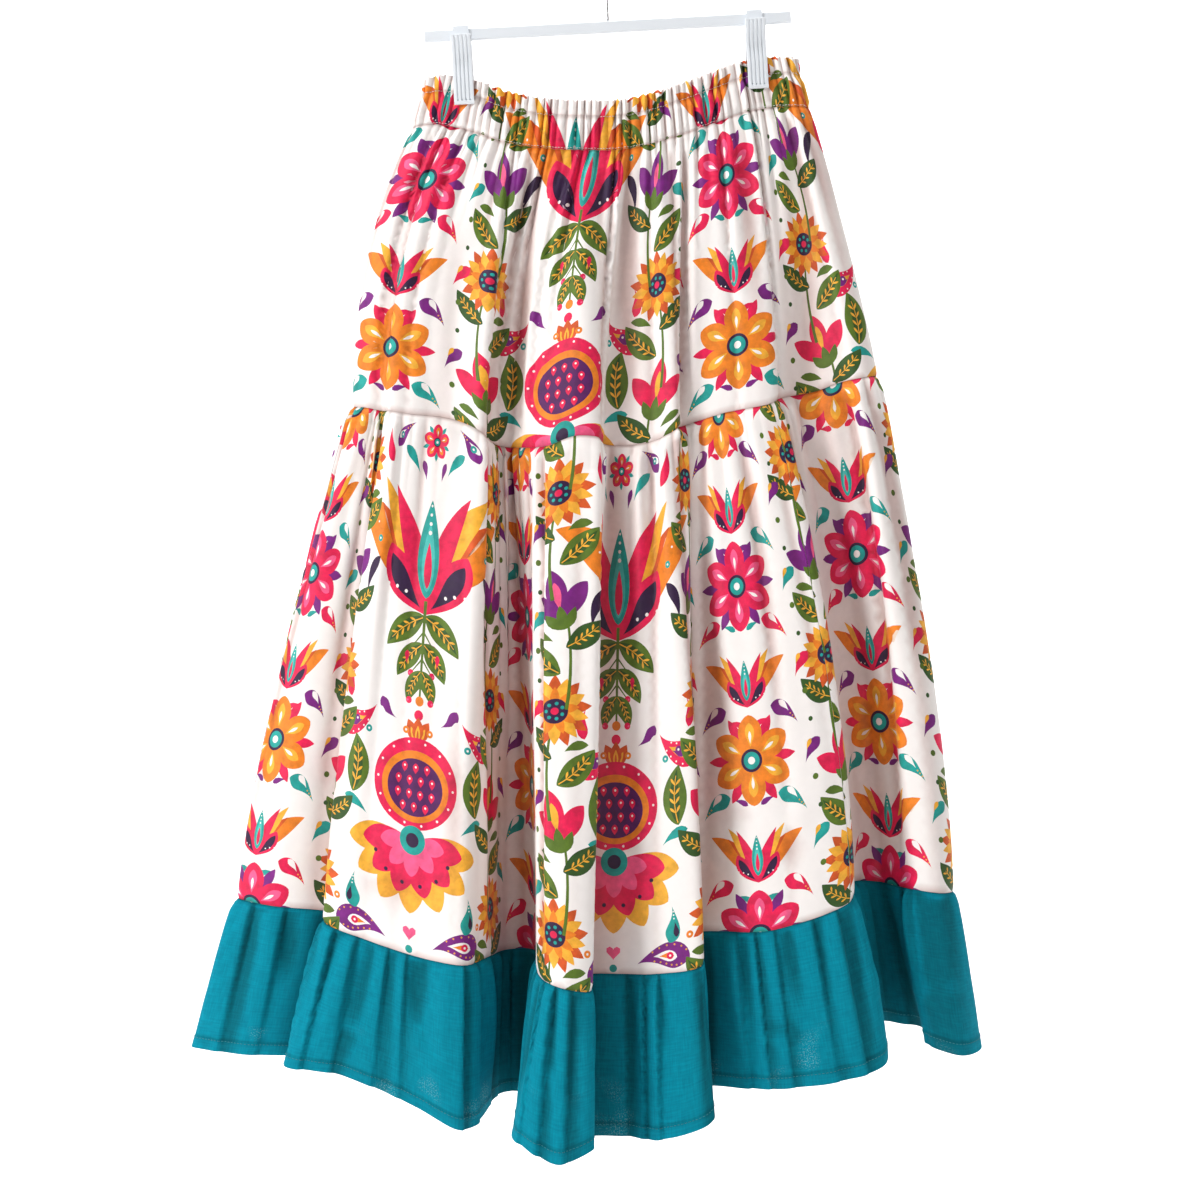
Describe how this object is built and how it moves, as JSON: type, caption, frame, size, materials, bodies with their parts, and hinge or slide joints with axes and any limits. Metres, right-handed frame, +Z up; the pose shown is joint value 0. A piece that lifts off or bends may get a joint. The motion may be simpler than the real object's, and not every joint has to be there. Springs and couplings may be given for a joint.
{
  "type": "tiered dance skirt on clip hanger",
  "caption": "Full-length tiered dance skirt with a gathered elastic waist, printed tiers and a plain ruffle, hung flat from a hook hanger by two clips.",
  "frame": {"origin": "the seat of the hanger's hook, where the underside of its arch lies on a rod", "axes": "+Z up; the skirt's front faces -Y; +X is to the right seen from the front; the rod runs along Y"},
  "size_m": [0.7147, 0.2558, 1.0699],
  "materials": {
    "printed_cloth": "smooth white satin cotton with a bright all-over print",
    "ruffle_gauze": "matte teal cotton gauze, slightly sheer",
    "hanger_plastic": "white moulded plastic",
    "hanger_steel": "bright steel wire"
  },
  "bodies": {
    "root": {"waistband_front": "printed_cloth", "waistband_back": "printed_cloth", "tier1_front": "printed_cloth", "tier1_back": "printed_cloth", "tier2_front": "printed_cloth", "tier2_back": "printed_cloth", "ruffle_front": "ruffle_gauze", "ruffle_back": "ruffle_gauze", "hanger_rail": "hanger_plastic", "hanger_hook": "hanger_steel", "clip_left_saddle": "hanger_plastic", "clip_left_front_jaw": "hanger_plastic", "clip_left_back_jaw": "hanger_plastic", "clip_right_saddle": "hanger_plastic", "clip_right_front_jaw": "hanger_plastic", "clip_right_back_jaw": "hanger_plastic"}
  },
  "joints": []
}
